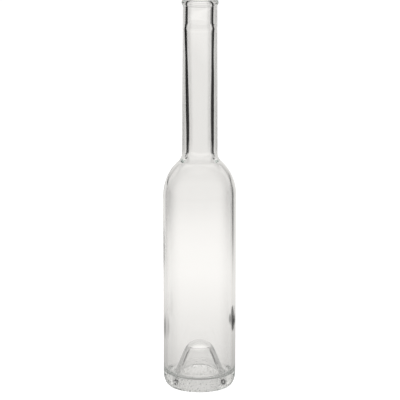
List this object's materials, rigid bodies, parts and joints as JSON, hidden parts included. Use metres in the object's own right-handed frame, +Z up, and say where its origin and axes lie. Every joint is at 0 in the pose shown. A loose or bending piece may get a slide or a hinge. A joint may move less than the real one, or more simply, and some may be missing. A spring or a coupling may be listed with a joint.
{
  "type": "long-necked glass bottle",
  "caption": "Clear glass bottle for liquids: long slender neck with a cork bore and a rounded bead, domed shoulder, straight round body and a deep punted base.",
  "frame": {"origin": "centre of the bearing ring, on the plane that the bottle stands on", "axes": "+Z up along the bottle's axis to the mouth; the bottle is round, so X and Y are free"},
  "size_m": [0.059, 0.059, 0.318],
  "materials": {
    "clear_glass": "clear flint glass, fire-polished, faint grey-green where it is thick"
  },
  "bodies": {
    "root": {"bottle": "clear_glass"}
  },
  "joints": []
}
